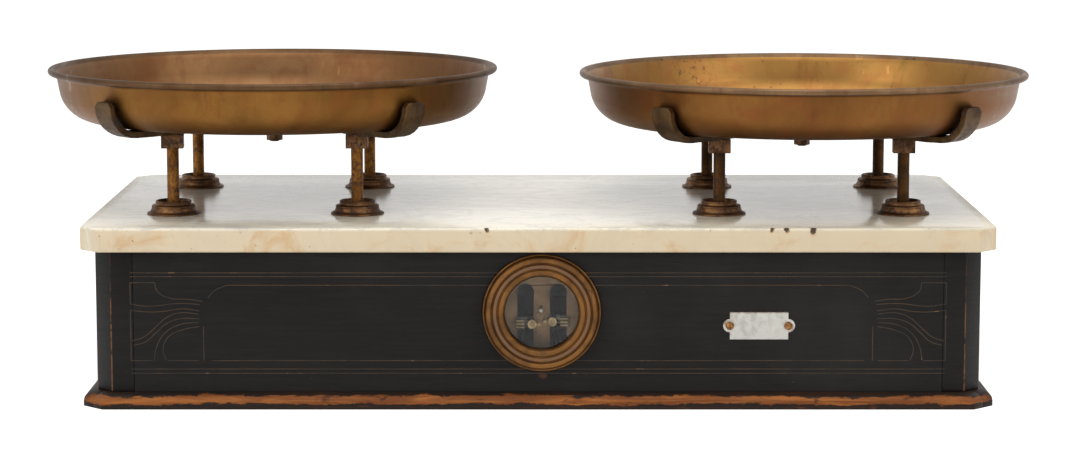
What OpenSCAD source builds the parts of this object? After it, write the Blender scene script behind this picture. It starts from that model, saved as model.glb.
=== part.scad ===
// Counter balance with two round pans above a marble-topped case.
// A main beam and two levers on knife edges lie in the case and keep both pans level.
// The origin is under the middle of the case, on the table. +X runs to the right pan, +Z up.
// Every moving piece is drawn at rest, a little down on the right.

/* [Case] */
// Width of the marble top and of the plinth
top_w = 600; // [590:1:620]
// Depth of the marble top and of the plinth
top_d = 300; // [292:1:320]
// Thickness of the marble
marble_t = 16; // [14:0.5:18]
// Height of the marble's upper face above the table
top_z = 120; // [118:0.5:124]
// Cut across each corner of the marble
marble_clip = 12.5; // [8:0.5:16]
// How far the case stands in from the marble's edge
case_inset = 8.5; // [7:0.5:10]
// Cut across each corner of the case
case_clip = 11.3; // [6:0.1:14]
// Height of the plinth
plinth_h = 10.4; // [9:0.1:12]
// Cut across each corner of the plinth
plinth_clip = 14; // [10:0.5:18]
// Thickness of the case's panels
panel_t = 10; // [8:0.5:12]

/* [Window] */
// Centre of the round window, to the right of the middle
window_x = 2.35; // [0:0.05:4]
// Height of the window's centre
window_z = 63.3; // [60:0.1:64]
// Outer radius of the brass bezel
bezel_r = 39; // [37:0.5:40]
// Radius of the glass that shows
sight_r = 24.3; // [22:0.1:25]

/* [Name plate] */
// Left edge of the bare plate
plate_x0 = 125.7; // [120:0.1:140]
// Width of the bare plate
plate_w = 38.3; // [34:0.1:44]
// Height of the bare plate
plate_h = 18.1; // [16:0.1:20]
// Lower edge of the bare plate
plate_z = 45.5; // [40:0.5:55]

/* [Pans] */
// Distance of each pan's centre from the middle
pan_x = 184; // [182:0.5:186]
// Radius of the rim, to the middle of its bead
rim_r = 153.2; // [152:0.1:154]
// Radius of the rim's rolled bead
rim_bead_r = 2.2; // [1.8:0.1:2.4]
// Height of the rim with the balance level
rim_z = 210.4; // [208:0.1:214]
// Thickness of the pan's sheet
sheet_t = 1.2; // [1:0.1:1.6]
// Outer radius of the pan's turned corner
pan_corner_r = 24; // [20:0.5:26]
// Outward lean of the pan's wall, in degrees
wall_lean = 13.5; // [10:0.5:16]

/* [Carriers] */
// Distance of each post from its pan's centre along X
post_dx = 62; // [60:0.5:64]
// Distance of each post from its pan's centre along Y
post_dy = 75; // [74:0.5:77]
// Radius of a post
post_r = 4.05; // [3.5:0.05:4.4]
// Width of the flat straps under a pan
strap_w = 13; // [11:0.5:14]
// Thickness of the straps
strap_t = 4.4; // [3.5:0.1:5]
// Width of a prong's tip
tip_w = 18; // [14:0.5:20]
// Clearance between the middle of a prong and the pan's wall
prong_gap = 0.9; // [0.8:0.1:1.5]
// Direction of the prongs from the X axis, in degrees
prong_az = 47.5; // [46:0.5:49]
// Height of the prongs' tips with the balance level
prong_z = 197; // [194:0.5:199]

/* [Movement] */
// Tilt of the main beam at rest, down on the right, in degrees
rest_tilt = 0.384; // [0:0.001:0.5]
// Tilt of the main beam at which its end meets a stop, in degrees
stop_tilt = 1.8; // [1.5:0.05:2]
// Height of the main beam's knife edges
beam_z = 72; // [71:0.5:73]
// Height of the levers' knife edges
lever_z = 50; // [49:0.5:51]
// Distance of each lever's fulcrum from the middle
lever_x = 46; // [45:0.5:47]
// Clearance between a knife edge and its bearing
knife_gap = 0.3; // [0.25:0.05:0.4]

/* [Hidden] */
left = -1;
right = 1;
$fn = 48;
cut = 1;

// Case
marble_z = top_z - marble_t;
case_w = top_w - 2 * case_inset;
case_d = top_d - 2 * case_inset;
front_y = -case_d / 2;
case_h = marble_z - plinth_h;
corner_post_w = 26;
moulding_w = 28;
moulding_edge_h = 3.6;
marble_arris = 1.4;
window_hole_r = 31.5;
spigot_l = 5.5;
glass_r = 26;
index_plate_t = 1.5;
index_y = front_y + panel_t;
plate_t = 0.9;
plate_ear_r = 4.4;
plate_screw_r = 2.6;

// Lever arms, which make the platforms travel alike and upright
outer_arm = pan_x + post_dx;
inner_arm = pan_x - post_dx;
load_arm = inner_arm - lever_x;
lever_ratio = outer_arm / load_arm;
link_arm = outer_arm * lever_x / (outer_arm - load_arm);
lever_tilt = rest_tilt * lever_ratio;
platform_shift = outer_arm * rest_tilt * PI / 180;
link_shift = link_arm * sin(rest_tilt);

// Layout of the movement across the case
beam_bar_y = 48;
lever_bar_y = 60;
bar_t = 6;
link_y = 54;
link_t = 4;
bearing_y = 39;
bearing_t = 8;
bracket_y = 70.5;
bracket_t = 6;
knife_w = 6;
knife_h = 9;
bed_z = plinth_h;
bed_t = 5;
bed_screw_x = 62;
bed_screw_y = 66;
bed_screw_r = 2.5;
bed_screw_l = 6;

beam_half_h = 9;
beam_end_half_h = 5;
rod_places = [-200, -110, 110, 200];
tare_r = 2;
arm_x = [-5.6, 10.4];
arrow_z = 55.3;
arrow_y = front_y + 7.3;

// Carriers
strap_z = rim_z - 33.8 - strap_t;
block_h = 9.4;
block_z = strap_z - block_h;
prong_r = rim_r - rim_bead_r - (rim_z - prong_z) * tan(wall_lean) + strap_t + prong_gap;
tenon_r = 2.8;
hub_bolt_r = 3;
eye_swell = 0.8;
ferrule_bore_r = 9;
ferrule_shank_r = 10.4;
frame_z = 84;
frame_h = 6;
frame_w = 14;
shoe_h = 12;
shoe_w = 14;
shoe_d = 11;

// Points of an ellipse's arc about (x, y)
function bow(x, y, rx, ry, from, to, steps) =
    [for (i = [0:steps]) let (a = from + (to - from) * i / steps) [x + rx * cos(a), y + ry * sin(a)]];

module along_y(length) {
    rotate([90, 0, 0]) linear_extrude(length, center = true) children();
}

module facing_front(y) {
    translate([0, y, 0]) rotate([90, 0, 0]) children();
}

module four_corners(dx, dy) {
    for (sx = [-1, 1], sy = [-1, 1]) translate([sx * dx, sy * dy, 0]) children();
}

module clipped_plate(w, d, clip, h) {
    linear_extrude(h) polygon([
        [w / 2, d / 2 - clip], [w / 2 - clip, d / 2], [clip - w / 2, d / 2], [-w / 2, d / 2 - clip],
        [-w / 2, clip - d / 2], [clip - w / 2, -d / 2], [w / 2 - clip, -d / 2], [w / 2, clip - d / 2]]);
}

// Rest positions of the moving bodies
module beam_rest() {
    translate([0, 0, beam_z]) rotate([0, rest_tilt, 0]) translate([0, 0, -beam_z]) children();
}

module lever_rest(side) {
    translate([side * lever_x, 0, lever_z]) rotate([0, lever_tilt, 0])
        translate([-side * lever_x, 0, -lever_z]) children();
}

module platform_rest(side) {
    translate([side * pan_x, 0, -side * platform_shift]) children();
}

// Marble slab with clipped corners and a softened arris, bored for the ferrules
module marble_top() {
    color("gainsboro") difference() {
        hull() {
            translate([0, 0, marble_z + marble_arris])
                clipped_plate(top_w, top_d, marble_clip, marble_t - 2 * marble_arris);
            translate([0, 0, marble_z])
                clipped_plate(top_w - 2 * marble_arris, top_d - 2 * marble_arris, marble_clip, marble_t);
        }
        for (side = [left, right]) translate([side * pan_x, 0, marble_z - cut])
            four_corners(post_dx, post_dy) cylinder(r = ferrule_shank_r + 0.1, h = marble_t + 2 * cut);
    }
}

// Panels of the case, butted between the corner posts
module front_panel() {
    color("#26221f") difference() {
        translate([corner_post_w - case_w / 2, front_y, plinth_h])
            cube([case_w - 2 * corner_post_w, panel_t, case_h]);
        translate([window_x, 0, window_z]) facing_front(front_y + panel_t + cut)
            cylinder(r = window_hole_r, h = panel_t + 2 * cut);
    }
}

module back_panel() {
    color("#26221f") translate([corner_post_w - case_w / 2, -front_y - panel_t, plinth_h])
        cube([case_w - 2 * corner_post_w, panel_t, case_h]);
}

module end_panel(side) {
    color("#26221f") translate([side * (case_w - panel_t) / 2, 0, plinth_h + case_h / 2])
        cube([panel_t, case_d - 2 * corner_post_w, case_h], center = true);
}

module corner_posts() {
    color("#26221f") intersection() {
        translate([0, 0, plinth_h]) clipped_plate(case_w, case_d, case_clip, case_h);
        four_corners((case_w - corner_post_w) / 2, (case_d - corner_post_w) / 2)
            translate([0, 0, plinth_h + case_h / 2]) cube([corner_post_w, corner_post_w, case_h], center = true);
    }
}

// Plinth moulding: a square edge below and a rounded nose up to the foot of the case
module plinth_body() {
    nose = bow(0, 0, case_inset, plinth_h - moulding_edge_h, 0, 90, 4);
    clipped_plate(top_w, top_d, plinth_clip, moulding_edge_h);
    for (i = [0:3]) hull() {
        for (p = [nose[i], nose[i + 1]]) translate([0, 0, moulding_edge_h])
            clipped_plate(top_w - 2 * case_inset + 2 * p.x, top_d - 2 * case_inset + 2 * p.x,
                plinth_clip, p.y + 0.01);
    }
}

module moulding_mitre(w, d) {
    linear_extrude(plinth_h) polygon([[-w / 2, -d / 2], [w / 2, -d / 2],
        [w / 2 - moulding_w, moulding_w - d / 2], [moulding_w - w / 2, moulding_w - d / 2]]);
}

module plinth_long_mouldings() {
    color("#4a2f1c") for (turn = [0, 180]) intersection() {
        plinth_body();
        rotate(turn) moulding_mitre(top_w, top_d);
    }
}

module plinth_end_mouldings() {
    color("#4a2f1c") for (turn = [90, 270]) intersection() {
        plinth_body();
        rotate(turn) moulding_mitre(top_d, top_w);
    }
}

module base_board() {
    color("#6b4a2c") difference() {
        translate([moulding_w - top_w / 2, moulding_w - top_d / 2, 0])
            cube([top_w - 2 * moulding_w, top_d - 2 * moulding_w, plinth_h]);
        four_corners(bed_screw_x, bed_screw_y) translate([0, 0, bed_z - bed_screw_l])
            cylinder(r = bed_screw_r + 0.05, h = bed_screw_l + cut);
    }
}

// Turned ferrules that line the holes in the marble
module ferrules(side) {
    profile = concat(
        [[ferrule_bore_r, -14], [ferrule_shank_r, -14], [ferrule_shank_r, 0], [18, 0], [18, 0.9]],
        bow(18, 3.9, 3, 3, 270, 180, 4),
        bow(13.4, 5.2, 1.4, 1.2, -50, 80, 6),
        [[12.2, 6.7]],
        bow(11.1, 8.4, 1, 0.9, -50, 90, 4),
        [[10.6, 9.3], [ferrule_bore_r, 7]]);
    color("#5a3a26") translate([side * pan_x, 0, top_z])
        four_corners(post_dx, post_dy) rotate_extrude() polygon(profile);
}

// Window: turned bezel, glass, ring behind it and slotted index plate
module window_bezel() {
    profile = concat(
        [[sight_r, 1.2], [glass_r, 1.2], [glass_r, -spigot_l], [window_hole_r - 0.2, -spigot_l],
            [window_hole_r - 0.2, 0], [bezel_r, 0]],
        bow(bezel_r - 0.9, 1.8, 0.9, 0.9, 0, 150, 4),
        bow(35.2, 2.4, 2.4, 4.6, 10, 170, 9),
        bow(30.9, 4, 1.3, 2.4, 0, 180, 6),
        bow(26.7, 2.6, 2.3, 4, 20, 150, 6),
        [[sight_r, 4]]);
    color("#a0713a") translate([window_x, 0, window_z]) facing_front(front_y)
        rotate_extrude($fn = 96) polygon(profile);
}

module window_glass() {
    color("lightcyan", 0.35) translate([window_x, 0, window_z]) facing_front(front_y + 0.8)
        cylinder(r = glass_r - 0.1, h = 2);
}

module glass_ring() {
    color("#8a6434") translate([window_x, 0, window_z]) facing_front(front_y + 2.8) difference() {
        cylinder(r = glass_r - 0.1, h = 2);
        translate([0, 0, -cut]) cylinder(r = sight_r, h = 2 + 2 * cut);
    }
}

module index_plate() {
    slot_h = 46;
    slot_z = 80.9 - window_z;
    color("#93703f") {
        translate([window_x, 0, window_z]) facing_front(index_y + index_plate_t) difference() {
            linear_extrude(index_plate_t) difference() {
                square([76, 66], center = true);
                for (slot = [[-10.65, 5.4], [10.85, 5.5]])
                    for (z = [slot_z - slot[1], slot_z + slot[1] - slot_h]) {
                        translate([slot[0], z]) circle(slot[1]);
                        translate([slot[0] - slot[1], slot_z + slot[1] - slot_h])
                            square([2 * slot[1], slot_h - 2 * slot[1]]);
                    }
            }
        }
        translate([2.1, 0, 65.2]) facing_front(index_y + 0.2) cylinder(r1 = 1.2, r2 = 0.6, h = 0.8);
    }
}

// Bare enamelled plate with a round ear and a screw at each end
module plate_outline() {
    translate([plate_x0, plate_z]) square([plate_w, plate_h]);
    for (x = [plate_x0, plate_x0 + plate_w]) translate([x, plate_z + plate_h / 2]) circle(plate_ear_r);
}

module name_plate() {
    color("gainsboro") facing_front(front_y) difference() {
        linear_extrude(plate_t) plate_outline();
        for (x = [plate_x0, plate_x0 + plate_w])
            translate([x, plate_z + plate_h / 2, -cut]) cylinder(r = 1.3, h = plate_t + 2 * cut);
    }
}

module name_plate_screws() {
    slot_w = 0.6;
    color("#8b5a33") facing_front(front_y - plate_t)
        for (x = [plate_x0, plate_x0 + plate_w]) translate([x, plate_z + plate_h / 2, 0]) difference() {
            union() {
                cylinder(r1 = plate_screw_r, r2 = plate_screw_r - 0.8, h = 1);
                translate([0, 0, -plate_t]) cylinder(r = 1.2, h = plate_t);
            }
            translate([0, 0, 1]) cube([2 * plate_screw_r, slot_w, slot_w], center = true);
        }
}

// Cast bed on the base board, with a pillar for each main bearing
module bed_casting() {
    pillar_h = beam_z - bed_z - bed_t - 12;
    pillar = [[-16, 0], [16, 0], [9, 20], [9, pillar_h], [-9, pillar_h], [-9, 20]];
    color("#3a3d3a") {
        difference() {
            translate([-75, -80, bed_z]) cube([150, 160, bed_t]);
            four_corners(bed_screw_x, bed_screw_y) translate([0, 0, bed_z - cut])
                cylinder(r = bed_screw_r + 0.1, h = bed_t + 2 * cut);
            translate([-22, -30, bed_z - cut]) cube([44, 60, bed_t + 2 * cut]);
        }
        for (sy = [-1, 1]) translate([0, sy * bearing_y, bed_z + bed_t]) along_y(bearing_t) polygon(pillar);
    }
}

// Hollow that a knife edge stands in, drawn with its apex at the origin and opening upwards
module vee(depth) {
    polygon([[0, 0], [depth * tan(60), depth], [-depth * tan(60), depth]]);
}

module main_bearings() {
    color("#9a9a94") for (sy = [-1, 1]) translate([0, sy * bearing_y, 0]) along_y(bearing_t)
        difference() {
            translate([-9, beam_z - 12]) square([18, 14.5]);
            translate([0, beam_z - knife_gap]) vee(6);
        }
}

// Brackets that hold each lever's fulcrum down from above
module fulcrum_brackets() {
    window_w = 12;
    color("#3a3d3a") for (side = [left, right], sy = [-1, 1])
        translate([side * lever_x, sy * bracket_y, 0]) along_y(bracket_t) difference() {
            translate([-10, bed_z + bed_t]) square([20, lever_z + 14 - bed_z - bed_t]);
            translate([-window_w / 2, lever_z - 16]) square([window_w, 22]);
        }
}

module fulcrum_bearings() {
    color("#9a9a94") for (side = [left, right], sy = [-1, 1])
        translate([side * lever_x, sy * bracket_y, 0]) along_y(bracket_t) difference() {
            translate([-6, lever_z - 1.5]) square([12, 7.5]);
            translate([0, lever_z + knife_gap]) mirror([0, 1]) vee(3);
        }
}

module bed_screws() {
    color("#6d6a62") four_corners(bed_screw_x, bed_screw_y) translate([0, 0, bed_z + bed_t]) {
        difference() {
            cylinder(r1 = 5, r2 = 3.4, h = 2.6);
            translate([0, 0, 2.6]) cube([10.2, 1, 1.6], center = true);
        }
        translate([0, 0, -bed_t - bed_screw_l]) cylinder(r = bed_screw_r, h = bed_t + bed_screw_l);
    }
}

// Cork-faced blocks that the beam's ends come down on
module beam_stops() {
    stop_x = outer_arm - 12;
    stop_h = beam_z - beam_end_half_h - stop_x * sin(stop_tilt) - 1.2 - plinth_h;
    color("#7a5a38") for (side = [left, right], sy = [-1, 1])
        translate([side * stop_x, sy * beam_bar_y, plinth_h + stop_h / 2]) cube([12, 14, stop_h], center = true);
}

// Main beam: two side bars, round cross rods and hardened knives
module knife(length) {
    shoulder = knife_w / 2 / tan(30);
    along_y(length) polygon([[0, 0], [knife_w / 2, -shoulder], [knife_w / 2, -knife_h],
        [-knife_w / 2, -knife_h], [-knife_w / 2, -shoulder]]);
}

module beam_knives(grow) {
    for (side = [left, right]) translate([side * outer_arm, 0, beam_z]) knife(2 * (post_dy + 8) + grow);
}

module beam_side_bars() {
    end_x = outer_arm + 6;
    outline = [[-end_x, beam_end_half_h - 1], [-30, beam_half_h], [30, beam_half_h],
        [end_x, beam_end_half_h - 1], [end_x, -beam_end_half_h], [30, -beam_half_h - 3],
        [-30, -beam_half_h - 3], [-end_x, -beam_end_half_h]];
    color("#454844") beam_rest() difference() {
        for (sy = [-1, 1]) translate([0, sy * beam_bar_y, beam_z]) along_y(bar_t) polygon(outline);
        beam_knives(0);
        translate([0, 0, beam_z]) mirror([0, 0, 1]) knife(2 * beam_bar_y + 12);
        for (side = [left, right]) translate([side * link_arm, 0, beam_z]) knife(2 * beam_bar_y + 12);
        for (x = rod_places) translate([x, 0, beam_z - 1]) rotate([90, 0, 0])
            cylinder(r = 3, h = 2 * beam_bar_y + 12, center = true);
    }
}

module beam_cross_rods() {
    color("#5c5f59") beam_rest() for (x = rod_places) translate([x, 0, beam_z - 1]) rotate([90, 0, 0])
        difference() {
            union() {
                cylinder(r = 3, h = 2 * beam_bar_y + bar_t + 3, center = true);
                cylinder(r = 4.5, h = 2 * beam_bar_y - bar_t, center = true);
            }
            rotate([0, 90, 0]) cylinder(r = tare_r + 0.05, h = 12, center = true);
        }
}

module beam_centre_knife() {
    color("#b8bab4") beam_rest() translate([0, 0, beam_z]) mirror([0, 0, 1])
        knife(2 * beam_bar_y + bar_t + 2);
}

module beam_end_knives() {
    color("#b8bab4") beam_rest() beam_knives(0);
}

module beam_link_knives() {
    inner = beam_bar_y - bar_t / 2;
    outer = link_y + link_t / 2 + 0.5;
    color("#b8bab4") beam_rest() for (side = [left, right], sy = [-1, 1])
        translate([side * link_arm, sy * (inner + outer) / 2, beam_z]) knife(outer - inner);
}

// Tare screw between the cross rods on each side, with its running nut
module tare_screws() {
    color("#a8843f") beam_rest() for (turn = [0, 180])
        rotate(turn) translate([103, 0, beam_z - 1]) rotate([0, 90, 0]) {
            cylinder(r = tare_r, h = 104);
            translate([0, 0, -1.4]) cylinder(r = 4, h = 2.4);
        }
}

module tare_nuts() {
    color("#a8843f") beam_rest() for (side = [left, right])
        translate([side * 155, 0, beam_z - 1]) rotate([0, 90, 0]) difference() {
            union() {
                cylinder(r = 7, h = 6, center = true);
                cylinder(r = 4.5, h = 10, center = true);
            }
            cylinder(r = tare_r + 0.05, h = 12, center = true);
        }
}

// Lever: side bars, cross rod, long knives for the fulcrum and the load, short knives for the links
module lever_long_knives(side) {
    translate([side * lever_x, 0, lever_z]) knife(2 * (bracket_y + bracket_t / 2 + 1));
    translate([side * inner_arm, 0, lever_z]) knife(2 * (post_dy + 8));
}

module lever_short_knife(side, length) {
    translate([side * link_arm, 0, lever_z]) mirror([0, 0, 1]) knife(length);
}

module lever_bars(side) {
    outline = [[26, -3], [34, -11], [112, -11], [inner_arm + 7, -10], [inner_arm + 7, 3], [100, 5],
        [78, 11], [58, 11], [34, 9], [26, 8]];
    color("#454844") lever_rest(side) difference() {
        for (sy = [-1, 1]) translate([0, sy * lever_bar_y, lever_z]) along_y(bar_t)
            scale([side, 1]) polygon(outline);
        lever_long_knives(side);
        lever_short_knife(side, 2 * lever_bar_y + 12);
        translate([side * 92, 0, lever_z - 3]) rotate([90, 0, 0])
            cylinder(r = 3, h = 2 * lever_bar_y + 12, center = true);
    }
}

module lever_cross_rod(side) {
    color("#5c5f59") lever_rest(side) translate([side * 92, 0, lever_z - 3]) rotate([90, 0, 0]) {
        cylinder(r = 3, h = 2 * lever_bar_y + bar_t + 3, center = true);
        cylinder(r = 4.5, h = 2 * lever_bar_y - bar_t, center = true);
    }
}

module lever_knives(side) {
    color("#b8bab4") lever_rest(side) lever_long_knives(side);
}

module lever_link_knives(side) {
    inner = link_y - link_t / 2 - 0.5;
    outer = lever_bar_y + bar_t / 2;
    color("#b8bab4") lever_rest(side) for (sy = [-1, 1])
        translate([0, sy * (inner + outer) / 2, 0]) lever_short_knife(side, outer - inner);
}

// Arm from a lever's front bar to its arrow, through the index plate's slot
module pointer_arm(side) {
    tip_x = side == left ? arm_x[0] : arm_x[1];
    root_x = side * 30;
    turn_y = -112;
    color("#5c5f59") lever_rest(side) {
        translate([root_x - 2.5, turn_y, arrow_z - 1.5]) cube([5, -turn_y - lever_bar_y - bar_t / 2, 3]);
        translate([min(root_x - 2.5, tip_x - 2), turn_y - 5, arrow_z - 1.5])
            cube([abs(root_x - tip_x) + 4.5, 5, 3]);
        translate([tip_x, turn_y - 4, arrow_z]) rotate([90, 0, 0])
            cylinder(r = 1.4, h = turn_y - 4 - arrow_y);
    }
}

module pointer_arrow(side) {
    tip_x = side == left ? 2 : 3;
    disc_x = side == left ? -4.1 : 9.3;
    tail_x = disc_x + side * 4.7;
    disc_r = 3.1;
    color("#8a7350") lever_rest(side) facing_front(arrow_y) {
        linear_extrude(1) translate([0, arrow_z]) {
            polygon([[tip_x, 0], [tip_x + side * 2.6, 2], [tip_x + side * 1.8, 0], [tip_x + side * 2.6, -2]]);
            polygon([[tip_x + side * 1.4, 0.6], [tail_x + side, 0.6], [tail_x + side, -0.6],
                [tip_x + side * 1.4, -0.6]]);
            polygon([[tail_x, 3], [tail_x + side * 6.6, 3.2], [tail_x + side * 5.2, 0],
                [tail_x + side * 6.6, -3.2], [tail_x, -3]]);
        }
        translate([disc_x, arrow_z, 0]) cylinder(r = disc_r, h = 1.5);
    }
}

// Stirrups that hang from the main beam and hold the levers up
module stirrups(side) {
    half_w = 7.5;
    rise = beam_z - lever_z;
    color("#77756c") translate([side * link_arm, 0, lever_z - side * link_shift]) for (sy = [-1, 1])
        translate([0, sy * link_y, 0]) along_y(link_t) difference() {
            translate([-half_w, -6]) square([2 * half_w, rise + 12]);
            stirrup_eye(rise + knife_gap, 1);
            stirrup_eye(-knife_gap, -1);
        }
}

// Eye with its bearing notch at the given height, reaching back over the knife's body
module stirrup_eye(z, up) {
    translate([0, z]) scale([1, up]) polygon([[0, 0], [4.6, -2.6], [4.6, -10], [-4.6, -10], [-4.6, -2.6]]);
}

// Pan: spun sheet with a flat floor, a turned corner and a rolled rim
module pan(side) {
    floor_z = strap_z + strap_t - rim_z;
    wall_top_r = rim_r - rim_bead_r;
    centre_z = floor_z + pan_corner_r;
    turn_r = pan_corner_r * cos(wall_lean);
    turn_z = centre_z - pan_corner_r * sin(wall_lean);
    flat_r = wall_top_r + turn_z * tan(wall_lean) - turn_r;
    inner_r = pan_corner_r - sheet_t;
    profile = concat(
        [[0, floor_z]],
        bow(flat_r, centre_z, pan_corner_r, pan_corner_r, 270, 360 - wall_lean, 10),
        [[wall_top_r - 0.2, -1.4], [rim_r, -rim_bead_r], [rim_r, rim_bead_r], [wall_top_r - 0.6, 1.2],
            [wall_top_r - 1.3, -0.4]],
        bow(flat_r, centre_z, inner_r, inner_r, 360 - wall_lean, 270, 10),
        [[0, floor_z + sheet_t]]);
    color(side == left ? "#9a6a33" : "#a07a3a") platform_rest(side) translate([0, 0, rim_z])
        rotate_extrude($fn = 180) {
            polygon(profile);
            translate([rim_r, 0]) circle(rim_bead_r, $fn = 20);
        }
}

// Flat straps crossing under the pan, each end widened and bent up into a prong
module bar_outline(from, to) {
    run = to - from;
    translate(from) rotate(atan2(run.y, run.x)) translate([0, -strap_w / 2]) square([norm(run), strap_w]);
}

module half_strap(hand) {
    bend_r = 22;
    tip_cut = 3;
    post_at = [post_dx, hand * post_dy];
    prong_at = prong_r * [cos(prong_az), hand * sin(prong_az)];
    run = prong_at - post_at;
    reach = norm(run);
    tip_h = prong_z - strap_z;
    side_view = concat([[0, 0]],
        bow(reach - bend_r, bend_r, bend_r, bend_r, 270, 360, 8),
        [[reach, tip_h], [reach - strap_t, tip_h]],
        bow(reach - bend_r, bend_r, bend_r - strap_t, bend_r - strap_t, 360, 270, 8),
        [[0, strap_t]]);
    linear_extrude(strap_t) {
        bar_outline([0, 0], post_at);
        translate(post_at) circle(strap_w / 2 + eye_swell);
    }
    translate(post_at) rotate(atan2(run.y, run.x)) intersection() {
        along_y(tip_w + 2) polygon(side_view);
        linear_extrude(tip_h) polygon([[0, -strap_w / 2], [reach, -tip_w / 2], [reach, tip_w / 2],
            [0, strap_w / 2]]);
        rotate([90, 0, 90]) linear_extrude(reach) polygon([[-tip_w / 2, 0], [-tip_w / 2, tip_h - tip_cut],
            [tip_cut - tip_w / 2, tip_h], [tip_w / 2 - tip_cut, tip_h], [tip_w / 2, tip_h - tip_cut],
            [tip_w / 2, 0]]);
    }
}

module strap(hand, lap_z) {
    translate([0, 0, strap_z]) difference() {
        union() {
            half_strap(hand);
            rotate(180) half_strap(hand);
        }
        translate([0, 0, lap_z]) linear_extrude(strap_t)
            bar_outline(-[26, -hand * 31.5], [26, -hand * 31.5]);
        translate([0, 0, -cut]) cylinder(r = hub_bolt_r + 0.05, h = strap_t + 2 * cut);
        for (turn = [0, 180]) rotate(turn) translate([post_dx, hand * post_dy, -cut])
            cylinder(r = tenon_r + 0.05, h = strap_t + 2 * cut);
    }
}

module upper_strap(side) {
    color("#4c4438") platform_rest(side) strap(1, -strap_t / 2);
}

module lower_strap(side) {
    color("#4c4438") platform_rest(side) strap(-1, strap_t / 2);
}

// Bolt through the crossing, with its collar and nut below
module hub_bolt(side) {
    collar_h = 3.2;
    nut_h = 8.6;
    color("#5a4128") platform_rest(side) translate([0, 0, strap_z]) {
        translate([0, 0, -12.6]) cylinder(r = hub_bolt_r, h = 12.6 + strap_t);
        translate([0, 0, -collar_h]) cylinder(r1 = 10, r2 = 14, h = collar_h);
        translate([0, 0, -collar_h - nut_h]) cylinder(r = 5.6, h = nut_h, $fn = 6);
    }
}

// Posts down through the marble: the outer ones to the main beam, the inner ones to the lever
function shoe_z(outer) = (outer ? beam_z : lever_z) + knife_gap;
module each_post(side) {
    for (sx = [-1, 1], sy = [-1, 1]) translate([sx * post_dx, sy * post_dy, 0]) {
        $outer = sx == side;
        children();
    }
}

module posts(side) {
    color("#7d5a30") platform_rest(side) each_post(side) {
        foot_z = shoe_z($outer) + 5;
        translate([0, 0, foot_z]) cylinder(r = post_r, h = block_z - foot_z);
        translate([0, 0, block_z]) cylinder(r = tenon_r, h = block_h + strap_t);
    }
}

module post_blocks(side) {
    block_w = 14.8;
    block_d = 8;
    boss_r = 4.7;
    color("#6d4a2a") platform_rest(side) each_post(side) translate([0, 0, block_z]) difference() {
        union() {
            translate([-block_w / 2, -block_d / 2, 0]) cube([block_w, block_d, block_h]);
            cylinder(r = boss_r, h = block_h);
        }
        translate([0, 0, -cut]) cylinder(r = tenon_r + 0.05, h = block_h + 2 * cut);
    }
}

// Frame under the marble that ties the four posts
module carrier_frame(side) {
    color("#454844") platform_rest(side) translate([0, 0, frame_z]) difference() {
        linear_extrude(frame_h) difference() {
            square([2 * post_dx + frame_w, 2 * post_dy + frame_w], center = true);
            square([2 * post_dx - frame_w, 2 * post_dy - frame_w], center = true);
        }
        four_corners(post_dx, post_dy) translate([0, 0, -cut]) cylinder(r = post_r + 0.05, h = frame_h + 2 * cut);
    }
}

// Shoes on the posts' feet, notched over the outer knives and flat over the inner ones
module bearing_shoes(side) {
    color("#8d8b83") platform_rest(side) each_post(side) difference() {
        along_y(shoe_d) difference() {
            translate([-shoe_w / 2, shoe_z($outer) - 2.5]) square([shoe_w, shoe_h]);
            if ($outer) translate([0, shoe_z($outer)]) mirror([0, 1]) vee(4);
            else translate([-5, shoe_z($outer) - 4]) square([10, 4]);
        }
        translate([0, 0, shoe_z($outer) + 5]) cylinder(r = post_r + 0.05, h = shoe_h);
    }
}

marble_top();
front_panel();
back_panel();
end_panel(left);  // left_panel
end_panel(right);  // right_panel
corner_posts();
plinth_long_mouldings();
plinth_end_mouldings();
base_board();
ferrules(left);  // left_ferrules
ferrules(right);  // right_ferrules
window_bezel();
window_glass();
glass_ring();
index_plate();
name_plate();
name_plate_screws();
bed_casting();
main_bearings();
fulcrum_brackets();
fulcrum_bearings();
bed_screws();
beam_stops();
beam_side_bars();
beam_cross_rods();
beam_centre_knife();
beam_end_knives();
beam_link_knives();
tare_screws();
tare_nuts();
lever_bars(left);  // left_lever_bars
lever_cross_rod(left);  // left_lever_cross_rod
lever_knives(left);  // left_lever_knives
lever_link_knives(left);  // left_lever_link_knives
pointer_arm(left);  // left_pointer_arm
pointer_arrow(left);  // left_pointer_arrow
stirrups(left);  // left_stirrups
lever_bars(right);  // right_lever_bars
lever_cross_rod(right);  // right_lever_cross_rod
lever_knives(right);  // right_lever_knives
lever_link_knives(right);  // right_lever_link_knives
pointer_arm(right);  // right_pointer_arm
pointer_arrow(right);  // right_pointer_arrow
stirrups(right);  // right_stirrups
pan(left);  // left_pan
upper_strap(left);  // left_upper_strap
lower_strap(left);  // left_lower_strap
hub_bolt(left);  // left_hub_bolt
posts(left);  // left_posts
post_blocks(left);  // left_post_blocks
carrier_frame(left);  // left_carrier_frame
bearing_shoes(left);  // left_bearing_shoes
pan(right);  // right_pan
upper_strap(right);  // right_upper_strap
lower_strap(right);  // right_lower_strap
hub_bolt(right);  // right_hub_bolt
posts(right);  // right_posts
post_blocks(right);  // right_post_blocks
carrier_frame(right);  // right_carrier_frame
bearing_shoes(right);  // right_bearing_shoes
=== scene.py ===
import math

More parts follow.
